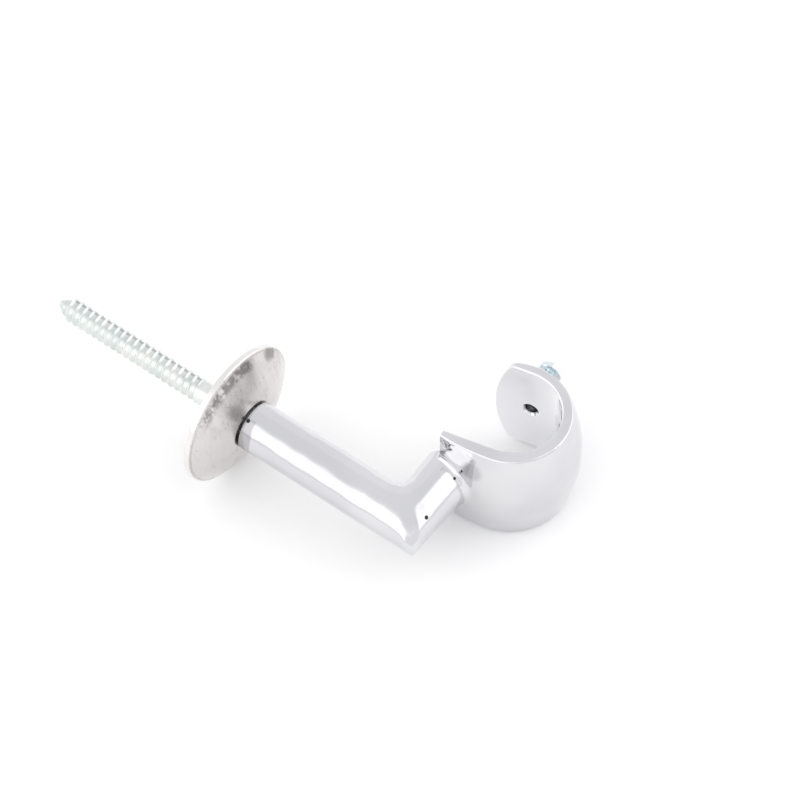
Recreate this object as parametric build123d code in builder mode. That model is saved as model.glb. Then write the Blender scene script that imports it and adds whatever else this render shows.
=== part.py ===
"""Curtain pole bracket for a ceiling: a casting, its cover rosette, a hanger bolt and a clamp screw.

The origin is on the bolt's axis in the ceiling plane. +Z runs up into the ceiling, the pole lies
along X, and the stub carries the pole cup towards -Y. Sizes are in millimetres and degrees.
"""

import os
from math import cos, floor, radians, sin, sqrt

from build123d import *

# Arm, elbow and stub
ARM_DIA = 16.0
ELBOW_DROP = 66.5
BEND_RADIUS = 11.5
BEND_SWELL = 1.0
BEND_LEAD = 10.0
BEND_STEPS = 3
STUB_END_DIA = 18.1
STUB_FLARE = 1.5
STUB_STEPS = 3

# Pole cup: a barrel with a U-shaped slot, thicker on the stub's side
POLE_DIA = 28.0
POLE_CLEARANCE = 1.3
POLE_DROP = 75.2
POLE_OFFSET = 40.5
CUP_TILT = 12.7
CUP_WIDTH = 37.5
FREE_RIM_WALL = 2.9
STUB_RIM_WALL = 4.1
CUP_BULGE = 3.4
RIM_ROUND = 0.8
TONGUE_REACH = 11.5
TONGUE_RADIUS = 38.0
TONGUE_CORNER = 5.5
LIP_REACH = 16.0
LIP_RADIUS = 75.0
LIP_CORNER = 1.5
LIP_FADE = 17.0
LIP_STEPS = 5
JUNCTION_FILLET = 2.0

# Cover rosette
ROSETTE_DIA = 46.8
ROSETTE_DEPTH = 8.0
ROSETTE_RIM = 1.9
ROSETTE_WALL = 1.4
ROSETTE_LAND_DIA = 18.0
ROSETTE_BULGE = 0.5
ROSETTE_GAP = 0.7
ROSETTE_HOLE_CLEARANCE = 0.6

# Hanger bolt: machine thread in the arm, plain neck, wood thread with a point
BOLT_DIA = 7.8
BOLT_CORE_DIA = 6.4
BOLT_SEAT_DIA = 7.2
BOLT_SEAT = 20.0
BOLT_REACH = 68.5
BOLT_POINT = 4.4
BOLT_TIP_DIA = 2.4
WOOD_START = 11.0
WOOD_PITCH = 2.56
CREST_LAND = 0.25
ROOT_LAND = 0.9
SEAT_CHAMFER = 0.8

# Clamp screw
SCREW_DIA = 4.0
SCREW_LENGTH = 12.0
SCREW_PROUD = 8.2
HEAD_DIA = 8.0
HEAD_HEIGHT = 2.6
HEAD_ROUND = 1.3
SCREW_CHAMFER = 0.5
RECESS_SPAN = 4.4
RECESS_WIDTH = 0.9
RECESS_DEPTH = 1.5
HOLE_CHAMFER = 0.6

# Radial room round each thread, and the room left at the bottom of a blind hole
THREAD_CLEARANCE = 0.05
HOLE_END_ROOM = 1.0

arm_radius = ARM_DIA / 2
stub_radius = STUB_END_DIA / 2
arm_top = ROSETTE_DEPTH + ROSETTE_GAP
slot_radius = (POLE_DIA + POLE_CLEARANCE) / 2
tilt = radians(CUP_TILT)
pole_axis = Vector(1, 0, 0)
mouth = Vector(0, sin(tilt), cos(tilt))
screw_out = Vector(0, -cos(tilt), sin(tilt))
elbow = Vector(0, 0, -ELBOW_DROP)
pole_centre = Vector(0, -POLE_OFFSET, -POLE_DROP)
barrel_shift = (STUB_RIM_WALL - FREE_RIM_WALL) / 2
barrel_centre = pole_centre - screw_out * barrel_shift
free_leg_plane = Plane(origin=barrel_centre, x_dir=pole_axis, z_dir=-mouth)
stub_leg_plane = Plane(origin=barrel_centre, x_dir=pole_axis, z_dir=mouth)
cup_plan = Plane(origin=pole_centre, x_dir=pole_axis, z_dir=screw_out)
slot_plane = Plane(origin=pole_centre, x_dir=pole_axis, z_dir=mouth)
screw_plane = Plane(origin=pole_centre, x_dir=pole_axis, z_dir=-mouth)
stub_leg_face = Plane(origin=pole_centre - screw_out * slot_radius, x_dir=pole_axis, z_dir=screw_out)
stub_reach = POLE_OFFSET - slot_radius * cos(tilt)

# Barrel section: from its axis out to two rounded rims and the bulge between them
half_width = CUP_WIDTH / 2
rim_radius = slot_radius + (STUB_RIM_WALL + FREE_RIM_WALL) / 2
middle_radius = rim_radius + CUP_BULGE
with BuildSketch() as barrel_section:
    with BuildLine():
        Polyline((-half_width, rim_radius), (-half_width, 0), (half_width, 0), (half_width, rim_radius))
        ThreePointArc((half_width, rim_radius), (0, middle_radius), (-half_width, rim_radius))
    make_face()
    fillet(barrel_section.vertices().group_by(Axis.Y)[-1], RIM_ROUND)

# Slot section: half of the slot across the cup, flared round the rims' inner edges
with BuildSketch() as slot_section:
    with BuildLine():
        Polyline(
            (half_width, slot_radius + RIM_ROUND),
            (half_width + RIM_ROUND, slot_radius + RIM_ROUND),
            (half_width + RIM_ROUND, 0),
            (-half_width - RIM_ROUND, 0),
            (-half_width - RIM_ROUND, slot_radius + RIM_ROUND),
            (-half_width, slot_radius + RIM_ROUND),
        )
        RadiusArc((-half_width, slot_radius + RIM_ROUND), (RIM_ROUND - half_width, slot_radius), -RIM_ROUND)
        Line((RIM_ROUND - half_width, slot_radius), (half_width - RIM_ROUND, slot_radius))
        RadiusArc((half_width - RIM_ROUND, slot_radius), (half_width, slot_radius + RIM_ROUND), -RIM_ROUND)
    make_face()

# Free leg: the barrel turned on past the slot's middle, ending in a rounded tongue
with BuildPart() as free_leg:
    with BuildSketch(free_leg_plane):
        add(barrel_section.sketch_local)
    revolve(axis=Axis(barrel_centre, -pole_axis), revolution_arc=90)
    with BuildSketch(cup_plan) as tongue:
        Rectangle(CUP_WIDTH + 2 * RIM_ROUND, TONGUE_REACH, align=(Align.CENTER, Align.MIN))
        with Locations((0, TONGUE_REACH - TONGUE_RADIUS)):
            Circle(TONGUE_RADIUS, mode=Mode.INTERSECT)
        fillet(tongue.vertices().group_by(Axis.Y)[-1], TONGUE_CORNER)
    extrude(amount=middle_radius, mode=Mode.INTERSECT)

# Leg on the stub's side: the barrel's section loses its bulge on the way up to a thin lip
with BuildPart() as stub_leg:
    for step in range(-1, LIP_STEPS + 1):
        rise = LIP_REACH * step / LIP_STEPS
        lip_edge = rim_radius - LIP_RADIUS + sqrt(LIP_RADIUS**2 - rise**2)
        lip_middle = lip_edge + CUP_BULGE * (1 - (rise / LIP_FADE) ** 2)
        with BuildSketch(stub_leg_plane.offset(rise)) as lip_section:
            with BuildLine():
                Polyline((-half_width, lip_edge), (-half_width, 0), (half_width, 0), (half_width, lip_edge))
                ThreePointArc((half_width, lip_edge), (0, lip_middle), (-half_width, lip_edge))
            make_face()
            fillet(lip_section.vertices().group_by(Axis.Y)[-1], RIM_ROUND)
    loft()
    with BuildSketch(cup_plan) as lip:
        Rectangle(CUP_WIDTH + 2 * RIM_ROUND, LIP_REACH, align=(Align.CENTER, Align.MIN))
        fillet(lip.vertices().group_by(Axis.Y)[-1], LIP_CORNER)
    extrude(amount=-(middle_radius + barrel_shift), mode=Mode.INTERSECT)

# Arm down from the ceiling to where the bend leads in
lead_start = ELBOW_DROP - BEND_RADIUS - BEND_LEAD
with BuildPart() as arm:
    with BuildSketch(Plane.XY.offset(-arm_top)):
        Circle(arm_radius)
    extrude(amount=arm_top - lead_start)

# Sections of the bend: a plane, then half sizes outwards, inwards and along the pole
bend_pivot = elbow + (0, -BEND_RADIUS, BEND_RADIUS)
bend_length = radians(45) * BEND_RADIUS
stub_path = bend_length + stub_reach - BEND_RADIUS
arm_sections = []
for lead in (lead_start, lead_start + BEND_LEAD / 2):
    lead_plane = Plane(origin=(0, 0, -lead), x_dir=(0, 1, 0), z_dir=(0, 0, -1))
    arm_sections.append((lead_plane, arm_radius, arm_radius, arm_radius))
stub_sections = []
for step in range(2 * BEND_STEPS + 1):
    turn = radians(45 * step / BEND_STEPS)
    outwards = Vector(0, cos(turn), -sin(turn))
    ridge = BEND_RADIUS + BEND_SWELL * sin(2 * turn) ** 2
    path = max(0, turn - radians(45)) * BEND_RADIUS
    radius = arm_radius + (stub_radius - arm_radius) * (path / stub_path) ** STUB_FLARE
    outer_edge = (BEND_RADIUS + radius) / max(cos(turn), sin(turn))
    turn_plane = Plane(bend_pivot + outwards * ridge, x_dir=outwards, z_dir=(0, -sin(turn), -cos(turn)))
    section = (turn_plane, outer_edge - ridge, ridge - BEND_RADIUS + radius, radius)
    if step <= BEND_STEPS:
        arm_sections.append(section)
    if step >= BEND_STEPS:
        stub_sections.append(section)
for step in range(1, STUB_STEPS + 1):
    reach = (stub_reach - BEND_RADIUS) * step / STUB_STEPS
    radius = arm_radius + (stub_radius - arm_radius) * ((bend_length + reach) / stub_path) ** STUB_FLARE
    stub_plane = Plane(elbow - (0, BEND_RADIUS + reach, 0), x_dir=(0, 0, -1), z_dir=(0, -1, 0))
    stub_sections.append((stub_plane, radius, radius, radius))

# Bend from the arm to the mitre, round on top and drawn out to a sharp corner on the outside
with BuildPart() as arm_bend:
    for plane, outer_half, inner_half, pole_half in arm_sections:
        with BuildSketch(plane):
            with BuildLine():
                EllipticalCenterArc((0, 0), outer_half, pole_half, -90, arc_size=180)
                EllipticalCenterArc((0, 0), inner_half, pole_half, 90, arc_size=180)
            make_face()
    loft()

# Stub from the mitre to the cup, widening slightly and flush with the leg's inner face
with BuildPart() as stub:
    for plane, outer_half, inner_half, pole_half in stub_sections:
        with BuildSketch(plane):
            with BuildLine():
                EllipticalCenterArc((0, 0), outer_half, pole_half, -90, arc_size=180)
                EllipticalCenterArc((0, 0), inner_half, pole_half, 90, arc_size=180)
            make_face()
    loft()
    split(bisect_by=stub_leg_face, keep=Keep.BOTTOM)

# Slot: a round floor for the pole and a straight way in
with BuildPart() as slot:
    with BuildSketch(slot_plane):
        add(slot_section.sketch_local)
        mirror(about=Plane.XZ)
    extrude(amount=LIP_REACH)
    with BuildSketch(slot_plane):
        add(slot_section.sketch_local)
    revolve(axis=Axis(pole_centre, pole_axis))

# Cup: a half turn of the barrel and the two legs, with the slot cut out
with BuildPart() as cup:
    with BuildSketch(free_leg_plane):
        add(barrel_section.sketch_local)
    revolve(axis=Axis(barrel_centre, pole_axis), revolution_arc=180)
    add(free_leg.part)
    add(stub_leg.part)
    add(slot.part, mode=Mode.SUBTRACT)

# Bent arm: arm, bend and stub meet on whole faces, so they are glued into one
with BuildPart() as bent_arm:
    add(arm.part.fuse(arm_bend.part, stub.part, glue=True))

# Bracket casting: bent arm and cup in one, then the two threaded holes
screw_hole_radius = SCREW_DIA / 2
bolt_hole_radius = BOLT_SEAT_DIA / 2
with BuildPart() as bracket_casting:
    add(cup.part)
    add(bent_arm.part)
    fillet(new_edges(cup.part, bent_arm.part, combined=bracket_casting.part), JUNCTION_FILLET)
    with Locations((0, 0, -arm_top)):
        Hole(bolt_hole_radius, BOLT_SEAT + HOLE_END_ROOM)
    with Locations(Plane(origin=barrel_centre + screw_out * middle_radius, z_dir=screw_out)):
        Hole(screw_hole_radius, middle_radius)
    with Locations(Plane(origin=pole_centre + screw_out * slot_radius, z_dir=screw_out)):
        Cone(
            screw_hole_radius + 2 * HOLE_CHAMFER,
            screw_hole_radius,
            2 * HOLE_CHAMFER,
            mode=Mode.SUBTRACT,
        )
bracket_casting.part.label = "bracket_casting"

# Cover rosette: a thin dished disc with a flat land round the bolt hole
rosette_radius = ROSETTE_DIA / 2
land_radius = ROSETTE_LAND_DIA / 2
rosette_hole_radius = BOLT_DIA / 2 + ROSETTE_HOLE_CLEARANCE
slope_middle = ((rosette_radius + land_radius) / 2, -(ROSETTE_DEPTH + ROSETTE_RIM) / 2 - ROSETTE_BULGE)
with BuildPart() as cover_rosette:
    with BuildSketch(Plane.XZ):
        with BuildLine():
            Polyline(
                (land_radius, -ROSETTE_DEPTH),
                (rosette_hole_radius, -ROSETTE_DEPTH),
                (rosette_hole_radius, ROSETTE_WALL - ROSETTE_DEPTH),
                (land_radius, ROSETTE_WALL - ROSETTE_DEPTH),
            )
            ThreePointArc(
                (land_radius, ROSETTE_WALL - ROSETTE_DEPTH),
                (slope_middle[0], slope_middle[1] + ROSETTE_WALL),
                (rosette_radius - ROSETTE_WALL, ROSETTE_WALL - ROSETTE_RIM),
            )
            Polyline(
                (rosette_radius - ROSETTE_WALL, ROSETTE_WALL - ROSETTE_RIM),
                (rosette_radius - ROSETTE_WALL, 0),
                (rosette_radius, 0),
                (rosette_radius, -ROSETTE_RIM),
            )
            ThreePointArc((rosette_radius, -ROSETTE_RIM), slope_middle, (land_radius, -ROSETTE_DEPTH))
        make_face()
    revolve(axis=Axis.Z)
cover_rosette.part.label = "cover_rosette"

# Hanger bolt: seat in the arm, neck, then ridges for the wood thread, smaller towards the point
bolt_radius = BOLT_DIA / 2
seat_radius = bolt_hole_radius - THREAD_CLEARANCE
core_radius = BOLT_CORE_DIA / 2
tip_radius = BOLT_TIP_DIA / 2
seat_end = -arm_top - BOLT_SEAT
ridge_count = floor((BOLT_REACH - WOOD_START) / WOOD_PITCH)
ridge_flank = (WOOD_PITCH - ROOT_LAND - CREST_LAND) / 2
bolt_profile = [
    (0, seat_end),
    (seat_radius - SEAT_CHAMFER, seat_end),
    (seat_radius, seat_end + SEAT_CHAMFER),
    (seat_radius, -arm_top),
    (bolt_radius, -arm_top),
    (bolt_radius, WOOD_START),
]
for ridge in range(ridge_count):
    ridge_start = WOOD_START + ridge * WOOD_PITCH
    ridge_heights = (
        (ridge_start, core_radius),
        (ridge_start + ROOT_LAND, core_radius),
        (ridge_start + ROOT_LAND + ridge_flank, bolt_radius),
        (ridge_start + ROOT_LAND + ridge_flank + CREST_LAND, bolt_radius),
    )
    for height, full_radius in ridge_heights:
        point_share = min(1, (BOLT_REACH - height) / BOLT_POINT)
        bolt_profile.append((tip_radius + (full_radius - tip_radius) * point_share, height))
bolt_profile.append((tip_radius, BOLT_REACH))
bolt_profile.append((0, BOLT_REACH))
with BuildPart() as hanger_bolt:
    with BuildSketch(Plane.XZ):
        with BuildLine():
            Polyline(*bolt_profile, close=True)
        make_face()
    revolve(axis=Axis.Z)
hanger_bolt.part.label = "hanger_bolt"

# Clamp screw: pan head with a cross recess, backed out of the free leg
shank_radius = screw_hole_radius - THREAD_CLEARANCE
head_seat = middle_radius - barrel_shift + SCREW_PROUD
with BuildPart() as clamp_screw:
    with BuildSketch(screw_plane):
        with BuildLine():
            Polyline(
                (HEAD_DIA / 2, head_seat + HEAD_HEIGHT - HEAD_ROUND),
                (HEAD_DIA / 2, head_seat),
                (shank_radius, head_seat),
                (shank_radius, head_seat - SCREW_LENGTH + SCREW_CHAMFER),
                (shank_radius - SCREW_CHAMFER, head_seat - SCREW_LENGTH),
                (0, head_seat - SCREW_LENGTH),
                (0, head_seat + HEAD_HEIGHT),
                (HEAD_DIA / 2 - HEAD_ROUND, head_seat + HEAD_HEIGHT),
            )
            RadiusArc(
                (HEAD_DIA / 2 - HEAD_ROUND, head_seat + HEAD_HEIGHT),
                (HEAD_DIA / 2, head_seat + HEAD_HEIGHT - HEAD_ROUND),
                HEAD_ROUND,
            )
        make_face()
    revolve(axis=Axis(pole_centre, screw_out))
    head_top = pole_centre + screw_out * (head_seat + HEAD_HEIGHT)
    with BuildSketch(Plane(origin=head_top, x_dir=pole_axis, z_dir=screw_out)):
        Rectangle(RECESS_SPAN, RECESS_WIDTH)
        Rectangle(RECESS_WIDTH, RECESS_SPAN)
    extrude(amount=-RECESS_DEPTH, mode=Mode.SUBTRACT)
clamp_screw.part.label = "clamp_screw"

os.makedirs("parts", exist_ok=True)
export_step(bracket_casting.part, "parts/bracket_casting.step")
export_step(cover_rosette.part, "parts/cover_rosette.step")
export_step(hanger_bolt.part, "parts/hanger_bolt.step")
export_step(clamp_screw.part, "parts/clamp_screw.step")
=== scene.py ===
"""Looks of a chromed curtain pole bracket: its finishes, its threads, the studio and the camera."""

import logging
import math
from dataclasses import dataclass
from enum import Enum
from typing import Any, Optional, Sequence, Union

import bmesh
import bpy
from mathutils import Euler, Matrix, Vector


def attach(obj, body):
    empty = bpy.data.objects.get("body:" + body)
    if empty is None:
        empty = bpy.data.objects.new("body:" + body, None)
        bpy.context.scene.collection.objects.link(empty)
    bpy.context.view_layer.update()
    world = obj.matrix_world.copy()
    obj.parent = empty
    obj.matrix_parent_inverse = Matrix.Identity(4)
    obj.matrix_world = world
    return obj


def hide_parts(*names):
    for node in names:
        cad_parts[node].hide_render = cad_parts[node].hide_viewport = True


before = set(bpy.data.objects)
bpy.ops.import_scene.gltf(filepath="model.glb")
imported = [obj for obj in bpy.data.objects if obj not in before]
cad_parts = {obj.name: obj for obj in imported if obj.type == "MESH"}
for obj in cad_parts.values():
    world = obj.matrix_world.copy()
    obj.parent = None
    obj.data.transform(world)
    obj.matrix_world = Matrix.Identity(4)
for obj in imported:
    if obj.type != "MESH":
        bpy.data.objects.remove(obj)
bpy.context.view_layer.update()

log = logging.getLogger("bracket")

MM = 0.001
TURN = 2 * math.pi
DEGREES = 180 / math.pi
TOUCH = 1e-6
UPRIGHT = Vector((0.0, 0.0, 1.0))
CUP_AT = Vector((0.0, -40.5 * MM, -75.2 * MM))
CUP_TILT = math.radians(12.7)
BORE_RADIUS = 14.65 * MM
Colour = tuple[float, float, float]
Triple = tuple[float, float, float]
Point = tuple[float, float]
Span = tuple[float, float]


class Node(str, Enum):
    """Shader nodes used by the finishes and the studio."""

    MATH = "ShaderNodeMath"
    VECTOR = "ShaderNodeVectorMath"
    COORDS = "ShaderNodeTexCoord"
    MAPPING = "ShaderNodeMapping"
    SPLIT = "ShaderNodeSeparateXYZ"
    NOISE = "ShaderNodeTexNoise"
    RANGE = "ShaderNodeMapRange"
    MIX = "ShaderNodeMix"
    BUMP = "ShaderNodeBump"
    METAL = "ShaderNodeBsdfPrincipled"
    CHALK = "ShaderNodeBsdfDiffuse"
    GLOW = "ShaderNodeEmission"
    CLEAR = "ShaderNodeBsdfTransparent"
    BOTH = "ShaderNodeAddShader"
    EITHER = "ShaderNodeMixShader"
    RAY = "ShaderNodeLightPath"
    SIDE = "ShaderNodeNewGeometry"
    SKY = "ShaderNodeBackground"
    PIECE_END = "ShaderNodeOutputMaterial"
    WORLD_END = "ShaderNodeOutputWorld"


class Signal:
    """A shader socket that can stand in a Python expression."""

    def __init__(self, board: "Board", socket: bpy.types.NodeSocket) -> None:
        """Keep the socket and the board that it is on."""
        self.board = board
        self.socket = socket

    def pick(self, name: str) -> "Signal":
        """Return another output of the same node."""
        return Signal(self.board, self.socket.node.outputs[name])

    def _math(self, operation: str, first: Any, second: Any = None) -> "Signal":
        """Add a Math node.

        Args:
            operation: the Math node's operation.
            first: the first value or signal.
            second: the second value or signal, if the operation has one.

        Returns:
            The node's result.
        """
        sockets = {0: first} if second is None else {0: first, 1: second}
        return self.board.add(Node.MATH, {"operation": operation}, sockets)

    def vector(self, operation: str, other: Any = None, output: str = "Vector") -> "Signal":
        """Add a Vector Math node.

        Args:
            operation: the Vector Math node's operation.
            other: the second vector or signal, if the operation has one.
            output: Vector, or Value where the operation gives a number.

        Returns:
            The node's result.
        """
        sockets = {0: self} if other is None else {0: self, 1: other}
        return self.board.add(Node.VECTOR, {"operation": operation}, sockets, output)

    def __add__(self, other: Any) -> "Signal":
        """Return self + other."""
        return self._math("ADD", self, other)

    __radd__ = __add__

    def __sub__(self, other: Any) -> "Signal":
        """Return self - other."""
        return self._math("SUBTRACT", self, other)

    def __rsub__(self, other: Any) -> "Signal":
        """Return other - self."""
        return self._math("SUBTRACT", other, self)

    def __mul__(self, other: Any) -> "Signal":
        """Return self * other."""
        return self._math("MULTIPLY", self, other)

    __rmul__ = __mul__

    def __truediv__(self, other: Any) -> "Signal":
        """Return self / other."""
        return self._math("DIVIDE", self, other)

    def __rtruediv__(self, other: Any) -> "Signal":
        """Return other / self."""
        return self._math("DIVIDE", other, self)

    def root(self) -> "Signal":
        """Return the square root."""
        return self._math("SQRT", self)

    def wave(self) -> "Signal":
        """Return the sine."""
        return self._math("SINE", self)

    def angle(self, across: "Signal") -> "Signal":
        """Return the angle in degrees whose tangent is self over across."""
        return self._math("ARCTAN2", self, across) * DEGREES

    def most(self, other: Any) -> "Signal":
        """Return the larger of the two."""
        return self._math("MAXIMUM", self, other)

    def dot(self, way: Sequence[float]) -> "Signal":
        """Return the part of a vector that lies along a direction."""
        return self.vector("DOT_PRODUCT", way, "Value")

    def away(self, point: Sequence[float]) -> "Signal":
        """Return the distance from a point."""
        return self.vector("DISTANCE", point, "Value")

    def from_axis(self, axis: Sequence[float]) -> "Signal":
        """Return the distance from an axis through the origin."""
        return self.vector("CROSS_PRODUCT", axis).vector("LENGTH", output="Value")

    def between(self, low: float, high: float) -> "Signal":
        """Return a value that runs from low to high as self runs from 0 to 1."""
        return low + (high - low) * self

    def ease(self, start: float, end: float, low: float = 0.0, high: float = 1.0) -> "Signal":
        """Blend smoothly from one value to another.

        Args:
            start: the input at which the blend starts.
            end: the input at which it ends, which may be the smaller one.
            low: the value at the start.
            high: the value at the end.

        Returns:
            The blended value.
        """
        if start > end:
            start, end, low, high = end, start, high, low
        sockets = {"Value": self, "From Min": start, "From Max": end, "To Min": low, "To Max": high}
        return self.board.add(Node.RANGE, {"interpolation_type": "SMOOTHSTEP"}, sockets)


class Board:
    """A node tree with one way of adding nodes."""

    def __init__(self, tree: bpy.types.NodeTree) -> None:
        """Empty the tree and keep it."""
        self.tree = tree
        tree.nodes.clear()

    def add(
        self,
        kind: Node,
        settings: Optional[dict[str, Any]] = None,
        sockets: Optional[dict[Union[str, int], Any]] = None,
        output: Union[str, int] = 0,
    ) -> Signal:
        """Add a node.

        Args:
            kind: the node's type.
            settings: the node's own settings, set before its sockets.
            sockets: values or signals for its inputs, by name or index.
            output: the output to return.

        Returns:
            The chosen output.
        """
        node = self.tree.nodes.new(kind.value)
        for name, value in (settings or {}).items():
            setattr(node, name, value)
        for name, value in (sockets or {}).items():
            if isinstance(value, Signal):
                self.tree.links.new(value.socket, node.inputs[name])
            else:
                node.inputs[name].default_value = value
        return Signal(self, node.outputs[output])

    def end(self, kind: Node, surface: Signal) -> None:
        """Link a shader to the tree's output."""
        node = self.tree.nodes.new(kind.value)
        self.tree.links.new(surface.socket, node.inputs["Surface"])

    def place(self) -> Signal:
        """Return the object coordinates."""
        return self.add(Node.COORDS, output="Object")

    def normal(self) -> Signal:
        """Return the surface's normal."""
        return self.add(Node.SIDE, output="Normal")

    def tint(self, share: Any, first: Any, second: Any) -> Signal:
        """Mix two colours.

        Args:
            share: how much of the second colour.
            first: a colour or a signal.
            second: a colour or a signal.

        Returns:
            The mixed colour.
        """
        first = first if isinstance(first, Signal) else (*first, 1.0)
        second = second if isinstance(second, Signal) else (*second, 1.0)
        return self.add(Node.MIX, {"data_type": "RGBA"}, {0: share, 6: first, 7: second}, 2)

    def bump(
        self, height: Signal, strength: float, distance: float, normal: Optional[Signal] = None
    ) -> Signal:
        """Bend the surface's normal by a height.

        Args:
            height: the height, from 0 to about 1.
            strength: how much of the bend is used.
            distance: the real height of 1, in metres.
            normal: the normal to bend, if it isn't the surface's own.

        Returns:
            The bent normal.
        """
        sockets = {"Strength": strength, "Distance": distance, "Height": height}
        if normal is not None:
            sockets["Normal"] = normal
        return self.add(Node.BUMP, {}, sockets, "Normal")

    def metal(self, base: Signal, roughness: Signal, normal: Signal) -> None:
        """End the tree in a bare metal.

        Args:
            base: the metal's colour.
            roughness: the metal's roughness.
            normal: the surface's normal.
        """
        sockets = {"Base Color": base, "Metallic": 1.0, "Roughness": roughness, "Normal": normal}
        self.end(Node.PIECE_END, self.add(Node.METAL, {}, sockets))


def new_material(name: str) -> tuple[bpy.types.Material, Board]:
    """Start a material.

    Args:
        name: the material's name.

    Returns:
        The material and its empty board.
    """
    material = bpy.data.materials.new(name)
    material.use_nodes = True
    return material, Board(material.node_tree)


@dataclass(frozen=True)
class Grain:
    """A noise pattern, turned and stretched where it has a direction."""

    scale: float
    detail: float
    rough: float = 0.5
    turn: Optional[Triple] = None
    stretch: Triple = (1.0, 1.0, 1.0)

    def on(self, board: Board, where: Signal) -> Signal:
        """Lay the pattern on a surface.

        Args:
            board: the material's board.
            where: the object coordinates.

        Returns:
            A value between 0 and 1.
        """
        if self.turn is not None:
            turned = {"Vector": where, "Rotation": self.turn, "Scale": self.stretch}
            where = board.add(Node.MAPPING, {}, turned)
        sockets = {"Vector": where, "Scale": self.scale, "Detail": self.detail, "Roughness": self.rough}
        return board.add(Node.NOISE, {}, sockets, "Fac")


@dataclass(frozen=True)
class Spot:
    """A round mark with a soft edge: its middle and its two radii, in millimetres."""

    x: float
    y: float
    z: float
    outer: float
    inner: float

    def share(self, where: Signal, ragged: Any = 0.0) -> Signal:
        """Lay the mark on a surface.

        Args:
            where: the object coordinates.
            ragged: a distance in metres that frays the mark's edge.

        Returns:
            1 inside the inner radius, 0 outside the outer one.
        """
        middle = (self.x * MM, self.y * MM, self.z * MM)
        return (where.away(middle) + ragged).ease(self.outer * MM, self.inner * MM)


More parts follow.
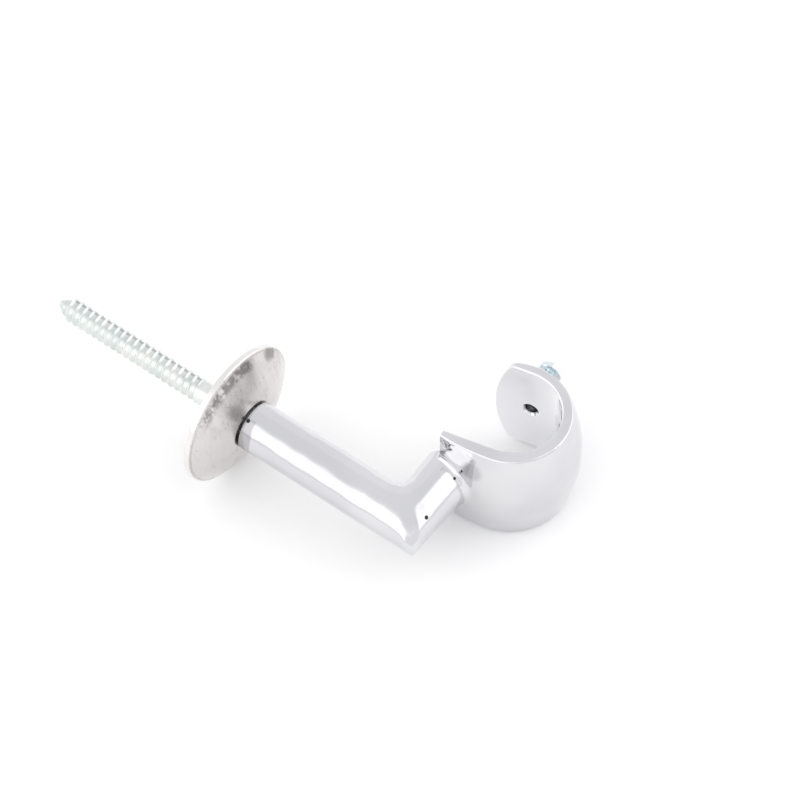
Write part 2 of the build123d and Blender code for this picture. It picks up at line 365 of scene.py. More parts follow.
@dataclass(frozen=True)
class Chrome:
    """Polished chrome over a casting, with faint polishing waves, a threaded hole darkened by painted
    shade, and painted reflections.
    """

    name: str = "polished_chrome"
    bright: Colour = (0.70, 0.70, 0.715)
    dull: Colour = (0.645, 0.645, 0.67)
    # Painted reflection, lighter: the cup's inside and a light facet at the junction.
    painted_bright_reflection: Colour = (0.88, 0.88, 0.895)
    # Painted reflection, darker: a dim facet at the junction and a grey band on the arm by the rosette.
    painted_dim_reflection: Colour = (0.45, 0.44, 0.455)
    # Painted reflection, near black, for three small dark spots.
    dark: Colour = (0.03, 0.03, 0.033)
    # Painted shade, near black, on the threaded hole's wall.
    hole_painted_shade: Colour = (0.05, 0.05, 0.055)
    roughness: float = 0.03
    haze: float = 0.04
    hole_roughness: float = 0.2
    cloud: Grain = Grain(45.0, 2.0)
    fine: Grain = Grain(900.0, 4.0, 0.6)
    polish: Grain = Grain(260.0, 2.0, 0.5, (0.3, 0.2, 0.5), (1.0, 9.0, 1.0))
    dull_span: Span = (0.35, 0.7)
    haze_span: Span = (0.4, 0.8)
    fine_span: Span = (0.66, 0.8)
    fine_share: float = 0.35
    polish_share: float = 0.006
    wave_strength: float = 0.4
    wave_height: float = 4.0 * MM
    elbow_drop: float = 66.5 * MM
    crease_width: float = 3.2 * MM
    crease_reach: Span = (11.5 * MM, 10.8 * MM)
    bore_skin: Span = (15.1 * MM, 14.85 * MM)
    hole_skin: Span = (1.2, 1.05)
    groove_span: Span = (-0.2, 0.7)
    groove_shares: Span = (0.55, 0.95)
    facet_way: Triple = (0.0, 1.0, 0.0)
    facet_span: Span = (0.88, 0.94)
    # Painted reflections on the lip's back face: a light facet, a dim facet and the dim one's strength.
    lit: Spot = Spot(-16.2, -20.2, -69.6, 5.8, 4.6)
    dim: Spot = Spot(-11.4, -19.4, -75.5, 4.3, 2.0)
    dim_share: float = 0.65
    # Painted reflection of the rosette on the arm: its end, edge, lift and the turns it spans.
    reflection_end: float = -11.9 * MM
    reflection_soft: float = 0.25 * MM
    reflection_lift: float = 0.9 * MM
    lift_turn: Span = (35.0, 62.0)
    start_turn: Span = (16.0, 26.0)
    end_turn: Span = (70.0, 54.0)
    end_share: float = 0.95
    # Three small dark spots of painted reflection.
    painted_dark_reflections: tuple[Spot, ...] = (
        Spot(-5.44, -1.81, -72.21, 0.75, 0.525),
        Spot(-7.06, -16.95, -71.23, 0.55, 0.385),
        Spot(-7.15, 3.6, -9.4, 0.75, 0.525),
    )

    def soft_crease(self, board: Board, where: Signal) -> Signal:
        """Round the elbow's crease, except at its outer corner.

        Args:
            board: the material's board.
            where: the object coordinates.

        Returns:
            The rounded normal.
        """
        half = math.sqrt(0.5)
        across, outwards = Vector((0.0, half, half)), Vector((0.0, half, -half))
        normal = board.normal()
        gap = where.dot(across) + self.elbow_drop * half
        reach = where.dot(outwards) - self.elbow_drop * half
        near = (gap * gap).ease(self.crease_width**2, 0.0) * reach.ease(*self.crease_reach)
        sockets = {0: across, "Scale": near * normal.dot(across)}
        lean = board.add(Node.VECTOR, {"operation": "SCALE"}, sockets)
        return normal.vector("SUBTRACT", lean).vector("NORMALIZE")

    def make(
        self, hole_at: Vector, hole_axis: Vector, hole_radius: float, pitch: float
    ) -> bpy.types.Material:
        """Make the material.

        Args:
            hole_at: where the threaded hole starts in the cup's bore.
            hole_axis: the hole's direction.
            hole_radius: the hole's radius.
            pitch: the rise of the hole's thread in one turn.

        Returns:
            The material.
        """
        material, board = new_material(self.name)
        where = board.place()
        cloud = self.cloud.on(board, where)
        offset = where.vector("SUBTRACT", hole_at)
        along = offset.dot(hole_axis)
        hole_outer, hole_inner = (hole_radius * share for share in self.hole_skin)
        inside = offset.from_axis(hole_axis).ease(hole_outer, hole_inner) * along.ease(0.0, pitch)
        groove = (along * (TURN / pitch)).wave().ease(*self.groove_span)
        base = board.tint(cloud.ease(*self.dull_span), self.bright, self.dull)
        fine = self.fine.on(board, where).ease(*self.fine_span)
        base = board.tint(fine * self.fine_share, base, self.dull)
        facet = board.normal().dot(self.facet_way).ease(*self.facet_span)
        bore = self.bore(where, along, hole_axis)
        # Painted reflection: the cup's inside and a light facet on the lip's back face are lightened.
        base = board.tint(bore.most(facet * self.lit.share(where)), base, self.painted_bright_reflection)
        # Painted reflection: a dim facet on the lip's back face is darkened.
        base = board.tint(facet * self.dim.share(where) * self.dim_share, base, self.painted_dim_reflection)
        # Painted reflection of the rosette: a grey band on one side of the arm.
        base = board.tint(self.rosette_reflection(board, where), base, self.painted_dim_reflection)
        # Painted shade on the threaded hole's wall, darker along a painted thread groove.
        base = board.tint(inside * groove.between(*self.groove_shares), base, self.hole_painted_shade)
        # Painted reflections: three small dark spots.
        for painted_dark_spot in self.painted_dark_reflections:
            base = board.tint(painted_dark_spot.share(where), base, self.dark)
        roughness = self.roughness + self.haze * cloud.ease(*self.haze_span)
        roughness = roughness + self.hole_roughness * inside
        height = cloud + self.polish_share * self.polish.on(board, where)
        crease = self.soft_crease(board, where)
        board.metal(base, roughness, board.bump(height, self.wave_strength, self.wave_height, crease))
        return material

    def bore(self, where: Signal, along: Signal, hole_axis: Vector) -> Signal:
        """Mark the inside of the pole cup, which a painted reflection lightens.

        Args:
            where: the object coordinates.
            along: the height over the bore's skin on the free leg's side.
            hole_axis: the direction in which that height is measured.

        Returns:
            1 on the cup's floor and its legs' inner faces, 0 elsewhere.
        """
        mouth = Vector((0.0, hole_axis.z, -hole_axis.y))
        below = (CUP_AT.dot(mouth) - where.dot(mouth)).most(0.0)
        side = along + BORE_RADIUS
        return (side * side + below * below).root().ease(*self.bore_skin)

    def rosette_reflection(self, board: Board, where: Signal) -> Signal:
        """Mark the painted reflection of the rosette, a grey band on one side of the arm next to it.

        Args:
            board: the material's board.
            where: the object coordinates.

        Returns:
            How strong the painted reflection is.
        """
        x = board.add(Node.SPLIT, {}, {0: where}, "X")
        turn = x.pick("Y").angle(x * -1.0)
        height = x.pick("Z") + turn.ease(*self.lift_turn, 0.0, self.reflection_lift)
        rosette_reflection = height.ease(self.reflection_end - self.reflection_soft, self.reflection_end + self.reflection_soft)
        return rosette_reflection * turn.ease(*self.start_turn) * turn.ease(*self.end_turn, self.end_share, 1.0)


@dataclass(frozen=True)
class ScuffedPlate:
    """Thin plated steel, rubbed dull, with specks, scratches and smudges that gather at the rim, a dark
    patch, a painted reflection of the arm and a rim side in painted light.
    """

    name: str = "scuffed_plate"
    clean: Colour = (0.70, 0.675, 0.66)
    worn: Colour = (0.61, 0.585, 0.567)
    speck: Colour = (0.13, 0.115, 0.10)
    # Darker tone for smudges along the rim, a dark patch, a thin dark line near the edge and a painted
    # reflection of the arm.
    smudge_and_reflection_tone: Colour = (0.25, 0.235, 0.225)
    scratch: Colour = (0.85, 0.84, 0.83)
    # Painted light: the rim's side is lighter.
    rim_side_painted_light: Colour = (0.85, 0.84, 0.825)
    rim_radius: float = 23.4 * MM
    rim_skin: Span = (0.86, 0.995)
    side_span: Span = (-2.3 * MM, -1.7 * MM)
    cloud: Grain = Grain(75.0, 4.0, 0.6)
    smear: Grain = Grain(120.0, 5.0, 0.65, (0.0, 0.0, 0.6), (1.0, 4.0, 1.0))
    grit: Grain = Grain(2600.0, 2.0)
    dots: Grain = Grain(900.0, 1.0)
    hair: Grain = Grain(150.0, 2.0, 0.5, (0.0, 0.0, -0.5), (1.0, 30.0, 1.0))
    wear_span: Span = (0.42, 0.66)
    grit_span: Span = (0.63, 0.68)
    dots_span: Span = (0.74, 0.78)
    hair_span: Span = (0.66, 0.69)
    rim_grit: Span = (0.82, 1.0)
    rim_specks: Span = (0.25, 1.0)
    dots_share: float = 0.9
    side_specks: Span = (1.0, 0.2)
    fray: float = 5.0 * MM
    # A dark patch near the rim, and a painted reflection of the arm on the slope.
    dark_patch: Spot = Spot(-15.6, -16.4, -2.2, 4.6, 2.2)
    dark_patch_share: float = 0.85
    arm_reflection: Spot = Spot(-11.5, 5.2, -6.6, 4.5, 1.5)
    arm_reflection_share: float = 0.6
    band_inner: Span = (18.6 * MM, 20.6 * MM)
    band_outer: Span = (23.0 * MM, 22.3 * MM)
    band_turn: Span = (-0.5, -0.8)
    band_start: Span = (-9.0 * MM, -5.0 * MM)
    band_smear: float = 0.6
    band_dots: float = 0.4
    band_span: Span = (0.36, 0.54)
    band_share: float = 0.9
    line_radius: Span = (22.3 * MM, 22.9 * MM)
    line_span: Span = (0.4, 0.55)
    line_share: float = 0.6
    side_smudge_and_reflection: Span = (1.0, 0.1)
    hair_share: float = 0.25
    rim_side_light_share: float = 0.8
    speck_share: float = 0.8
    roughness: float = 0.2
    wear_roughness: float = 0.12
    speck_roughness: float = 0.2
    hair_roughness: float = 0.05
    smear_height: float = 0.6
    grit_height: float = 0.3
    bump_strength: float = 0.05
    bump_height: float = 0.3 * MM

    def make(self) -> bpy.types.Material:
        """Make the material.

        Returns:
            The material.
        """
        material, board = new_material(self.name)
        where = board.place()
        x = board.add(Node.SPLIT, {}, {0: where}, "X")
        y, z = x.pick("Y"), x.pick("Z")
        radius = (x * x + y * y).root()
        side = z.ease(*self.side_span)
        rim_inner, rim_outer = (self.rim_radius * share for share in self.rim_skin)
        edge = radius.ease(rim_inner, rim_outer)
        cloud, smear = self.cloud.on(board, where), self.smear.on(board, where)
        grit, dots = self.grit.on(board, where), self.dots.on(board, where)
        hair = self.hair.on(board, where).ease(*self.hair_span)
        wear = (0.5 * cloud + 0.5 * smear).ease(*self.wear_span)
        specks = (grit * edge.between(*self.rim_grit)).ease(*self.grit_span)
        specks = specks * edge.between(*self.rim_specks)
        specks = specks.most(dots.ease(*self.dots_span) * self.dots_share)
        specks = specks * side.between(*self.side_specks)
        ragged = self.fray * (smear - 0.5)
        patchy = (self.band_smear * smear + self.band_dots * dots).ease(*self.band_span)
        ring = radius.ease(*self.band_inner) * radius.ease(*self.band_outer)
        band = ring * (x / radius).ease(*self.band_turn) * y.ease(*self.band_start) * patchy
        line = radius.ease(*self.line_radius) * grit.ease(*self.line_span) * (1.0 - side)
        # Smudges, a dark patch and a dark line, with a painted reflection of the arm on the slope.
        smudge_and_reflection = self.dark_patch_share * self.dark_patch.share(where, ragged)
        smudge_and_reflection = smudge_and_reflection.most(self.band_share * band)
        smudge_and_reflection = smudge_and_reflection.most(self.arm_reflection_share * self.arm_reflection.share(where, ragged))
        smudge_and_reflection = smudge_and_reflection.most(self.line_share * line) * side.between(*self.side_smudge_and_reflection)
        base = board.tint(wear, self.clean, self.worn)
        base = board.tint(hair * self.hair_share, base, self.scratch)
        # Painted light: the rim's side is lightened.
        base = board.tint(side * self.rim_side_light_share, base, self.rim_side_painted_light)
        base = board.tint(smudge_and_reflection, base, self.smudge_and_reflection_tone)
        base = board.tint(specks * self.speck_share, base, self.speck)
        roughness = self.roughness + self.wear_roughness * wear
        roughness = roughness + self.speck_roughness * specks + self.hair_roughness * hair
        height = self.smear_height * smear + self.grit_height * grit - specks
        board.metal(base, roughness, board.bump(height, self.bump_strength, self.bump_height))
        return material


@dataclass(frozen=True)
class Zinc:
    """Zinc plating on a thread: bright crests, roots darkened by painted shade, darker dots of painted
    shade on one side of the roots where asked, and a faint cloudy tint.
    """

    name: str
    bright: Colour
    cool: Colour
    # Painted shade tone for the thread's roots.
    root: Colour
    core_radius: float
    crest_radius: float
    axis_at: Triple = (0.0, 0.0, 0.0)
    axis: Triple = (0.0, 0.0, 1.0)
    # Darker dots of painted shade in the roots on one side of the thread.
    root_shade_way: Triple = (-0.82, -0.572, 0.0)
    root_shade: float = 0.0
    root_shade_dark: Colour = (0.1, 0.105, 0.105)
    root_shade_span: Span = (0.95, 0.99)
    root_shade_depth: Span = (0.6, 0.95)
    core_skin: Span = (0.93, 0.98)
    cloud: Grain = Grain(130.0, 3.0)
    grain: Grain = Grain(2200.0, 4.0, 0.6)
    cloud_span: Span = (0.35, 0.65)
    grain_span: Span = (0.62, 0.75)
    grain_share: float = 0.2
    root_shares: Span = (0.08, 0.2)
    roughness: float = 0.13
    grain_roughness: float = 0.08
    root_roughness: float = 0.03
    bump_strength: float = 0.1
    bump_height: float = 0.1 * MM

    def make(self) -> bpy.types.Material:
        """Make the material.

        Returns:
            The material.
        """
        material, board = new_material(self.name)
        where = board.place()
        offset = where.vector("SUBTRACT", self.axis_at)
        reach = offset.from_axis(self.axis)
        depth = reach.ease(self.crest_radius, self.core_radius)
        cloud, grain = self.cloud.on(board, where), self.grain.on(board, where)
        base = board.tint(cloud.ease(*self.cloud_span), self.bright, self.cool)
        # Painted shade: the roots are darkened.
        base = board.tint(depth * cloud.between(*self.root_shares), base, self.root)
        base = board.tint(grain.ease(*self.grain_span) * self.grain_share, base, self.root)
        core_inner, core_outer = (self.core_radius * share for share in self.core_skin)
        # Painted shade: darker dots in the roots on one side of the thread.
        root = depth.ease(*self.root_shade_depth) * reach.ease(core_inner, core_outer)
        painted_root_shade = (offset.dot(self.root_shade_way) / reach).ease(*self.root_shade_span) * root
        base = board.tint(painted_root_shade * self.root_shade, base, self.root_shade_dark)
        roughness = self.roughness + self.grain_roughness * grain + self.root_roughness * depth
        board.metal(base, roughness, board.bump(grain, self.bump_strength, self.bump_height))
        return material


def chain(mesh: bmesh.types.BMesh, points: Sequence[Point], close: bool = False) -> list[Any]:
    """Add a chain of edges in the XZ plane.

    Args:
        mesh: the mesh to add to.
        points: radius and height of each corner.
        close: whether the last corner joins the first.

    Returns:
        The new vertices and edges.
    """
    corners = [mesh.verts.new((radius, 0.0, height)) for radius, height in points]
    pairs = list(zip(corners, corners[1:])) + ([(corners[-1], corners[0])] if close else [])
    return corners + [mesh.edges.new(pair) for pair in pairs]


def rim(mesh: bmesh.types.BMesh, height: float) -> list[bmesh.types.BMEdge]:
    """Find the open edges at a height.

    Args:
        mesh: the mesh to look in.
        height: the edges' height.

    Returns:
        The edges.
    """
    return [
        edge
        for edge in mesh.edges
        if edge.is_boundary and all(abs(vert.co.z - height) < TOUCH for vert in edge.verts)
    ]


def on_ring(edge: bmesh.types.BMEdge, radius: float, height: float) -> bool:
    """Tell whether an edge lies on a ring round the Z axis.

    Args:
        edge: the edge.
        radius: the ring's radius.
        height: the ring's height.

    Returns:
        Whether both ends of the edge lie on the ring.
    """
    return all(
        abs(math.hypot(vert.co.x, vert.co.y) - radius) < TOUCH and abs(vert.co.z - height) < TOUCH
        for vert in edge.verts
    )


def carry(
    mesh: bmesh.types.BMesh, edges: list[bmesh.types.BMEdge], radius: float, height: float
) -> list[bmesh.types.BMEdge]:
    """Extrude a round loop to another radius and height.

    Args:
        mesh: the mesh that the loop is in.
        edges: the loop's edges.
        radius: the new loop's radius.
        height: the new loop's height.

    Returns:
        The new loop's edges.
    """
    new = bmesh.ops.extrude_edge_only(mesh, edges=edges)["geom"]
    for vert in (item for item in new if isinstance(item, bmesh.types.BMVert)):
        factor = radius / math.hypot(vert.co.x, vert.co.y)
        vert.co = Vector((vert.co.x * factor, vert.co.y * factor, height))
    return [item for item in new if isinstance(item, bmesh.types.BMEdge) and item.is_boundary]


def finish_mesh(
    mesh: bmesh.types.BMesh, name: str, place: Matrix, sharp: float = math.radians(38)
) -> bpy.types.Object:
    """Turn a mesh into a piece at its place.

    Args:
        mesh: the mesh, in its own axes, in metres.
        name: the piece's name.
        place: where it goes in the part's frame.
        sharp: the angle above which an edge stays sharp.

    Returns:
        The new object.
    """
    bmesh.ops.remove_doubles(mesh, verts=mesh.verts, dist=1e-7)
    bmesh.ops.recalc_face_normals(mesh, faces=mesh.faces)
    bmesh.ops.transform(mesh, matrix=place, verts=mesh.verts)
    data = bpy.data.meshes.new(name)
    mesh.to_mesh(data)
    mesh.free()
    data.shade_smooth()
    data.set_sharp_from_angle(angle=sharp)
    piece = bpy.data.objects.new(name, data)
    bpy.context.scene.collection.objects.link(piece)
    return piece


@dataclass
class Thread:
    """A right-hand screw thread, spun as one skin along Z."""

    core: float
    crest: float
    pitch: float
    root_share: float
    crest_share: float
    start: float
    end: float
    steps: int = 48
    soft_share: float = 0.12
    root_flat: float = 0.82
    root_lead: float = 0.18
    crest_flat: Span = (0.25, 0.75)
    spare_turns: float = 1.5
    seam: float = 2e-6

    def profile(self) -> list[Point]:
        """Draw one pitch of the thread.

        Returns:
            Radius of each corner, and its height as a share of the pitch.
        """
        soft = self.soft_share * (self.crest - self.core)
        rise = self.root_share
        top = rise + (1.0 - self.root_share - self.crest_share) / 2
        flat_start, flat_end = (top + self.crest_share * share for share in self.crest_flat)
        return [
            (self.core, 0.0),
            (self.core, self.root_share * self.root_flat),
            (self.core + soft, rise),
            (self.crest - soft, top),
            (self.crest, flat_start),
            (self.crest, flat_end),
            (self.crest - soft, top + self.crest_share),
            (self.core + soft, 1.0 - self.root_share * self.root_lead),
            (self.core, 1.0),
        ]

    def spin(self, mesh: bmesh.types.BMesh) -> None:
        """Spin one pitch of the profile up the axis and cut it off square at both ends.

        Args:
            mesh: the empty mesh to spin it in.
        """
        foot = self.start - self.spare_turns * self.pitch
        turns = math.ceil((self.end - foot) / self.pitch) + 1
        points = [(radius, foot + share * self.pitch) for radius, share in self.profile()]
        bmesh.ops.spin(
            mesh,
            geom=chain(mesh, points),
            cent=(0, 0, 0),
            axis=(0, 0, 1),
            dvec=(0, 0, self.pitch / self.steps),
            angle=TURN * turns,
            steps=turns * self.steps,
            use_merge=False,
        )
        bmesh.ops.remove_doubles(mesh, verts=mesh.verts, dist=self.seam)
        for height, keep_above in ((self.start, True), (self.end, False)):
            bmesh.ops.bisect_plane(
                mesh,
                geom=mesh.verts[:] + mesh.edges[:] + mesh.faces[:],
                dist=1e-8,
                plane_co=(0, 0, height),
                plane_no=(0, 0, 1),
                clear_inner=keep_above,
                clear_outer=not keep_above,
            )


@dataclass
class Casting:
    """The bracket's one chromed casting, which is the CAD node in its finish."""

    node: str = "bracket_casting"
    hole_radius: float = 2.0 * MM
    hole_pitch: float = 0.7 * MM
    finish: Chrome = Chrome()

    def dress(self, screw_out: Vector) -> bpy.types.Object:
        """Give the node its finish.

        Args:
            screw_out: the clamp screw's direction, away from the pole.

        Returns:
            The node's object.
        """
        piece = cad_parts[self.node]
        piece.material_slots[0].material = self.finish.make(
            CUP_AT + screw_out * BORE_RADIUS, screw_out, self.hole_radius, self.hole_pitch
        )
        log.info("%s dressed in %s", piece.name, self.finish.name)
        return piece


@dataclass
class Rosette:
    """The dished cover disc round the bolt."""

    node: str = "cover_rosette"
    radius: float = 23.4 * MM
    depth: float = 8.0 * MM
    rim: float = 1.9 * MM
    wall: float = 1.4 * MM
    land: float = 9.0 * MM
    bulge: float = 0.5 * MM
    hole: float = 4.5 * MM
    edge_round: float = 0.35 * MM
    edge_steps: int = 4
    slope_steps: int = 14
    turn_steps: int = 160
    finish: ScuffedPlate = ScuffedPlate()

    def slope(self, lift: float, inset: float) -> list[Point]:
        """Draw the curved slope from the land to the rim.

        Args:
            lift: how far it lies above the outer skin.
            inset: how far inside the rim it ends.

        Returns:
            Radius and height of each point.
        """
        end = self.radius - inset
        points = []
        for step in range(self.slope_steps + 1):
            share = step / self.slope_steps
            bulge = 4 * self.bulge * share * (1 - share)
            height = lift - self.depth + share * (self.depth - self.rim) - bulge
            points.append((self.land + share * (end - self.land), height))
        return points

    def build(self) -> bpy.types.Object:
        """Spin the disc's section and round its edges.

        Returns:
            The disc.
        """
        outer = self.slope(0.0, 0.0)
        inner = self.slope(self.wall, self.wall)
        section = [(self.hole, -self.depth), *outer, (self.radius, 0.0), (self.radius - self.wall, 0.0)]
        section += [*reversed(inner), (self.hole, self.wall - self.depth)]
        mesh = bmesh.new()
        bmesh.ops.spin(
            mesh,
            geom=chain(mesh, section, close=True),
            cent=(0, 0, 0),
            axis=(0, 0, 1),
            angle=TURN,
            steps=self.turn_steps,
            use_merge=True,
        )
        corners = (
            (self.radius, 0.0),
            (self.radius, -self.rim),
            (self.hole, -self.depth),
            (self.land, -self.depth),
        )
        edges = [edge for edge in mesh.edges if any(on_ring(edge, *corner) for corner in corners)]
        bmesh.ops.bevel(
            mesh,
            geom=edges,
            offset=self.edge_round,
            segments=self.edge_steps,
            profile=0.5,
            affect="EDGES",
            material=-1,
        )
        return finish_mesh(mesh, "rosette", Matrix.Identity(4))

    def dress(self) -> bpy.types.Object:
        """Build the disc, give it its finish and let it stand for its node.

        Returns:
            The disc.
        """
        piece = self.build()
        piece.data.materials.append(self.finish.make())
        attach(piece, "bracket")
        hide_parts(self.node)
        log.info("%s built with %d faces", piece.name, len(piece.data.polygons))
        return piece


@dataclass
class HangerBolt:
    """The zinc-plated bolt with its coarse thread and point."""

    node: str = "hanger_bolt"
    crest: float = 3.9 * MM
    core: float = 3.42 * MM
    seat: float = 3.55 * MM
    seat_end: float = -28.7 * MM
    seat_chamfer: float = 0.8 * MM
    neck_start: float = -8.7 * MM
    thread_start: float = 11.0 * MM
    run_out: float = 2.2 * MM
    pitch: float = 2.56 * MM
    root_share: float = 0.46
    crest_share: float = 0.12
    reach: float = 68.5 * MM
    point: float = 4.4 * MM
    tip: float = 1.2 * MM
    tip_flat: float = 0.6
    # The darker roots and the darker dots on one side of them are painted shade.
    finish: Zinc = Zinc(
        name="bolt_zinc",
        bright=(0.78, 0.80, 0.775),
        cool=(0.68, 0.725, 0.71),
        root=(0.27, 0.31, 0.30),
        core_radius=3.42 * MM,
        crest_radius=3.9 * MM,
        root_shade=0.45,
        roughness=0.26,
    )

    def taper(self, mesh: bmesh.types.BMesh) -> None:
        """Let the thread run out into the neck and draw its end in to the point.

        Args:
            mesh: the spun thread.
        """
        for vert in mesh.verts:
            radius = math.hypot(vert.co.x, vert.co.y)
            fade = min(1.0, max(0.0, (vert.co.z - self.thread_start) / self.run_out))
            fade = fade * fade * (3 - 2 * fade)
            shaped = self.crest + (radius - self.crest) * fade
            share = min(1.0, (self.reach - vert.co.z) / self.point)
            shaped = self.tip + (shaped - self.tip) * share
            vert.co.x *= shaped / radius
            vert.co.y *= shaped / radius

    def build(self) -> bpy.types.Object:
        """Spin the thread, taper its point and carry its start on into the neck and the seat.

        Returns:
            The bolt.
        """
        mesh = bmesh.new()
        Thread(
            core=self.core,
            crest=self.crest,
            pitch=self.pitch,
            root_share=self.root_share,
            crest_share=self.crest_share,
            start=self.thread_start,
            end=self.reach,
        ).spin(mesh)
        self.taper(mesh)
        loop = rim(mesh, self.thread_start)
        for radius, height in (
            (self.crest, self.neck_start),
            (self.seat, self.neck_start),
            (self.seat, self.seat_end + self.seat_chamfer),
            (self.seat - self.seat_chamfer, self.seat_end),
        ):
            loop = carry(mesh, loop, radius, height)
        bmesh.ops.contextual_create(mesh, geom=loop)
        top = carry(mesh, rim(mesh, self.reach), self.tip * self.tip_flat, self.reach)
        bmesh.ops.contextual_create(mesh, geom=top)
        return finish_mesh(mesh, "bolt", Matrix.Identity(4))

    def dress(self) -> bpy.types.Object:
        """Build the bolt, give it its finish and let it stand for its node.

        Returns:
            The bolt.
        """
        piece = self.build()
        piece.data.materials.append(self.finish.make())
        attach(piece, "bracket")
        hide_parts(self.node)
        log.info("%s built with %d faces", piece.name, len(piece.data.polygons))
        return piece


@dataclass
class ClampScrew:
    """The pan-head machine screw in the cup's free leg."""

    screw_out: Vector
    node: str = "clamp_screw"
    crest: float = 1.95 * MM
    core: float = 1.58 * MM
    pitch: float = 0.7 * MM
    root_share: float = 0.3
    crest_share: float = 0.18
    thread_steps: int = 32
    inner_end: float = 17.15 * MM
    end_chamfer: float = 0.5 * MM
    end_inset: float = 0.1 * MM
    head_seat: float = 29.15 * MM
    head_radius: float = 3.99 * MM
    head_height: float = 2.59 * MM
    head_round: float = 1.3 * MM
    head_steps: int = 8
    head_edge: float = 0.25 * MM
    head_middle: float = 0.4 * MM
    recess_span: float = 4.4 * MM
    recess_width: float = 0.9 * MM
    recess_depth: float = 1.5 * MM
    recess_taper: float = 0.7

    def finish(self) -> Zinc:
        """Choose the screw's plating.

        Returns:
            The finish, along the screw's axis.
        """
        return Zinc(
            name="screw_zinc",
            bright=(0.88, 0.915, 0.935),
            cool=(0.74, 0.82, 0.86),
            # The roots' darker tone is painted shade.
            root=(0.40, 0.49, 0.55),
            core_radius=self.core,
            crest_radius=self.crest,
            axis_at=tuple(CUP_AT),
            axis=tuple(self.screw_out),
            roughness=0.12,
        )

    def head(self, mesh: bmesh.types.BMesh) -> None:
        """Carry the thread's upper end on into a rounded pan head.

        Args:
            mesh: the spun thread.
        """
        loop = rim(mesh, self.head_seat - self.pitch)
        for vert in {vert for edge in loop for vert in edge.verts}:
            factor = self.core / math.hypot(vert.co.x, vert.co.y)
            vert.co.x *= factor
            vert.co.y *= factor
        top = self.head_seat + self.head_height
        angles = [step / self.head_steps * math.pi / 2 for step in range(self.head_steps + 1)]
        rounding = [
            (
                self.head_radius - self.head_round * (1 - math.cos(angle)),
                top - self.head_round * (1 - math.sin(angle)),
            )
            for angle in angles
        ]
        rings = [
            (self.core, self.head_seat),
            (self.head_radius - self.head_edge, self.head_seat),
            (self.head_radius, self.head_seat + self.head_edge),
            *rounding,
            (self.head_middle, top),
        ]
        for radius, height in rings:
            loop = carry(mesh, loop, radius, height)
        bmesh.ops.contextual_create(mesh, geom=loop)

    def recess(self) -> bpy.types.Object:
        """Build the tapered cross that cuts the driver's recess.

        Returns:
            The cross.
        """
        mesh = bmesh.new()
        top = self.head_seat + self.head_height
        size = Matrix.Diagonal((self.recess_span, self.recess_width, 2 * self.recess_depth, 1.0))
        for turn in (0.0, math.pi / 2):
            place = Matrix.Translation((0, 0, top)) @ Matrix.Rotation(turn, 4, "Z") @ size
            bar = bmesh.ops.create_cube(mesh, size=1.0, matrix=place)["verts"]
            for vert in (vert for vert in bar if vert.co.z < top):
                vert.co.x *= self.recess_taper
                vert.co.y *= self.recess_taper
        return finish_mesh(mesh, "recess", self.place())

    def place(self) -> Matrix:
        """Return the screw's place: its axis through the cup's middle, its head outwards."""
        turn = UPRIGHT.rotation_difference(self.screw_out).to_matrix().to_4x4()
        return Matrix.Translation(CUP_AT) @ turn

    def build(self) -> bpy.types.Object:
        """Spin the thread, add the head and cut the recess.

        Returns:
            The screw.
        """
        mesh = bmesh.new()
        Thread(
            core=self.core,
            crest=self.crest,
            pitch=self.pitch,
            root_share=self.root_share,
            crest_share=self.crest_share,
            start=self.inner_end + self.end_chamfer,
            end=self.head_seat - self.pitch,
            steps=self.thread_steps,
        ).spin(mesh)
        foot = rim(mesh, self.inner_end + self.end_chamfer)
        foot = carry(mesh, foot, self.core - self.end_inset, self.inner_end)
        bmesh.ops.contextual_create(mesh, geom=foot)
        self.head(mesh)
        piece = finish_mesh(mesh, "screw", self.place())
        cutter = self.recess()
        cut = piece.modifiers.new("recess", "BOOLEAN")
        cut.operation = "DIFFERENCE"
        cut.object = cutter
        cut.solver = "EXACT"
        cut.use_self = True
        bpy.context.view_layer.update()
        finished = piece.evaluated_get(bpy.context.evaluated_depsgraph_get())
        shaped = bpy.data.meshes.new_from_object(finished)
        piece.modifiers.clear()
        piece.data = shaped
        bpy.data.objects.remove(cutter)
        return piece

    def dress(self) -> bpy.types.Object:
        """Build the screw, give it its finish and let it stand for its node.

        Returns:
            The screw.
        """
        piece = self.build()
        piece.data.materials.append(self.finish().make())
        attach(piece, "clamp_screw")
        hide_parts(self.node)
        log.info("%s built with %d faces", piece.name, len(piece.data.polygons))
        return piece


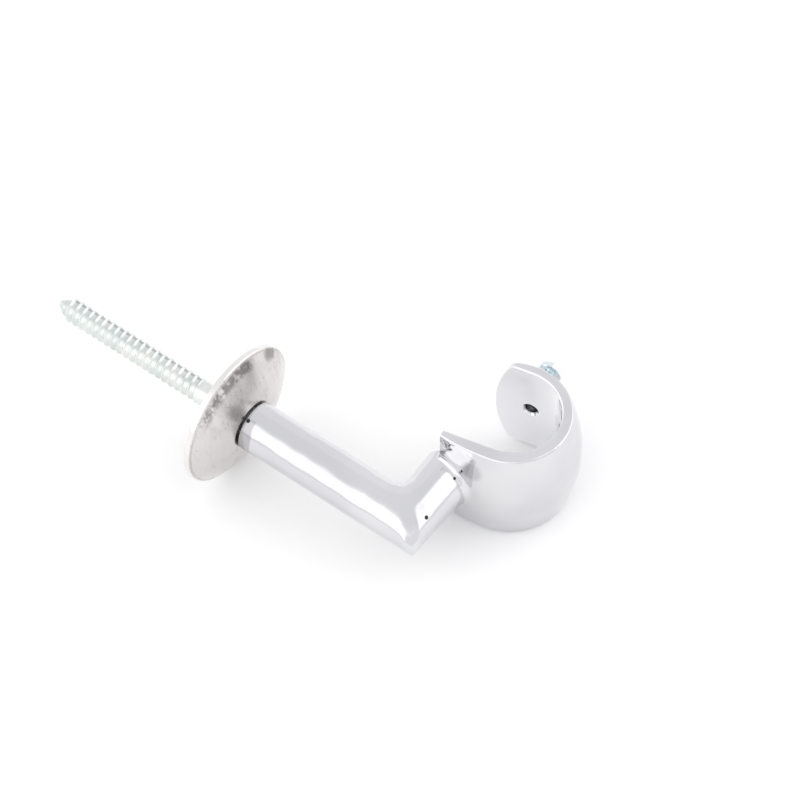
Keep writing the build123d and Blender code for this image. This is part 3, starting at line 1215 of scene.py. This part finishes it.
@dataclass
class Studio:
    """The pale floor that the bracket lies on, the light tent round it and the camera."""

    rim_touch: float = 23.5 * MM
    side_touch: float = 18.85 * MM
    touch_span: float = 92.5 * MM
    floor_size: float = 6.0
    paper: Colour = (0.9, 0.9, 0.9)
    black: Colour = (0.0, 0.0, 0.0)
    white: Colour = (1.0, 1.0, 1.0)
    seen_glow: float = 0.06
    mirrored_glow: float = 0.085
    cup_glow: float = 0.04
    cup_span: Span = (21.0 * MM, 8.0 * MM)
    front_way: Triple = (0.0, 1.0, 0.0)
    side_way: Triple = (0.0, 0.0, -1.0)
    panel_start: Span = (16.0, 34.0)
    panel_end: Span = (88.0, 78.0)
    panel_side: Span = (0.6, 0.3)
    second_start: Span = (-2.0, 12.0)
    second_end: Span = (86.0, 72.0)
    second_front: Span = (-0.1, -0.25)
    crown_up: Span = (0.62, 0.8)
    crown_front: Span = (0.3, 0.1)
    wall_light: Colour = (1.03, 1.03, 1.045)
    crown_light: Colour = (0.975, 0.975, 0.99)
    panel_light: Colour = (1.55, 1.55, 1.55)
    camera_at: Triple = (-0.74852, 0.38329, -0.35993)
    camera_turn: Triple = (125.6226, 52.8725, -89.3924)
    lens: float = 135.315
    sensor: float = 36.0
    near_clip: float = 0.01

    def normal(self) -> Vector:
        """Return the floor's upward direction, square to the line through its two touching points."""
        lean = (self.rim_touch - self.side_touch) / self.touch_span
        return Vector((-1.0, 0.0, lean)).normalized()

    def card(self) -> bpy.types.Material:
        """Make the floor's pale card, which is clear from below.

        Returns:
            The material.
        """
        material, board = new_material("floor_card")
        ray = board.add(Node.RAY, output="Is Camera Ray")
        # Painted light: a brighter patch of floor under the cup, seen only in reflections, lightens the
        # cup's inside.
        under_cup = board.place().away((self.side_touch, CUP_AT.y, CUP_AT.z)).ease(*self.cup_span)
        mirrored = ray.pick("Is Glossy Ray") * (self.mirrored_glow + self.cup_glow * under_cup)
        glow = board.tint(self.seen_glow * ray + mirrored, self.black, self.white)
        glow = board.add(Node.GLOW, {}, {"Color": glow, "Strength": 1.0})
        paper = board.add(Node.CHALK, {}, {"Color": (*self.paper, 1.0)})
        card = board.add(Node.BOTH, {}, {0: paper, 1: glow})
        behind = board.add(Node.SIDE, output="Backfacing")
        clear = board.add(Node.CLEAR)
        board.end(Node.PIECE_END, board.add(Node.EITHER, {}, {0: behind, 1: card, 2: clear}))
        return material

    def floor(self) -> bpy.types.Object:
        """Lay the floor under the rosette's rim and the cup's side.

        Returns:
            The floor.
        """
        mesh = bmesh.new()
        turn = UPRIGHT.rotation_difference(self.normal()).to_matrix().to_4x4()
        place = Matrix.Translation((self.rim_touch, 0, 0)) @ turn
        bmesh.ops.create_grid(mesh, x_segments=1, y_segments=1, size=self.floor_size / 2, matrix=place)
        data = bpy.data.meshes.new("floor")
        mesh.to_mesh(data)
        mesh.free()
        piece = bpy.data.objects.new("floor", data)
        bpy.context.scene.collection.objects.link(piece)
        data.materials.append(self.card())
        log.info("%s laid", piece.name)
        return piece

    def tent(self) -> None:
        """Light the scene from a white tent with two bright panels and a darker crown."""
        world = bpy.data.worlds.new("tent")
        bpy.context.scene.world = world
        world.use_nodes = True
        board = Board(world.node_tree)
        way = board.add(Node.COORDS, output="Generated")
        up, front, side = way.dot(self.normal()), way.dot(self.front_way), way.dot(self.side_way)
        swing, lean = front.angle(up), side.angle(up)
        panel = swing.ease(*self.panel_start) * swing.ease(*self.panel_end) * side.ease(*self.panel_side)
        second = lean.ease(*self.second_start) * lean.ease(*self.second_end)
        second = second * front.ease(*self.second_front)
        crown = up.ease(*self.crown_up) * front.ease(*self.crown_front)
        light = board.tint(crown, self.wall_light, self.crown_light)
        light = board.tint(panel.most(second), light, self.panel_light)
        light = board.tint(board.add(Node.RAY, output="Is Camera Ray"), light, self.white)
        board.end(Node.WORLD_END, board.add(Node.SKY, {}, {"Color": light, "Strength": 1.0}))
        log.info("%s lit", world.name)

    def camera(self) -> None:
        """Set the camera where the picture was taken from."""
        data = bpy.data.cameras.new("camera")
        data.lens = self.lens
        data.sensor_width = self.sensor
        data.clip_start = self.near_clip
        camera = bpy.data.objects.new("camera", data)
        camera.location = self.camera_at
        camera.rotation_euler = Euler([math.radians(angle) for angle in self.camera_turn])
        bpy.context.scene.collection.objects.link(camera)
        bpy.context.scene.camera = camera
        bpy.context.scene.view_settings.view_transform = "Standard"
        log.info("%s set", camera.name)


def main() -> None:
    """Build the studio and dress the bracket, one sub-assembly after another."""
    logging.basicConfig(level=logging.INFO, format="%(name)s: %(message)s")
    screw_out = Vector((0.0, -math.cos(CUP_TILT), math.sin(CUP_TILT)))
    studio = Studio()
    studio.floor()
    studio.tent()
    studio.camera()
    Casting().dress(screw_out)
    Rosette().dress()
    HangerBolt().dress()
    ClampScrew(screw_out).dress()


if __name__ == "__main__":
    main()
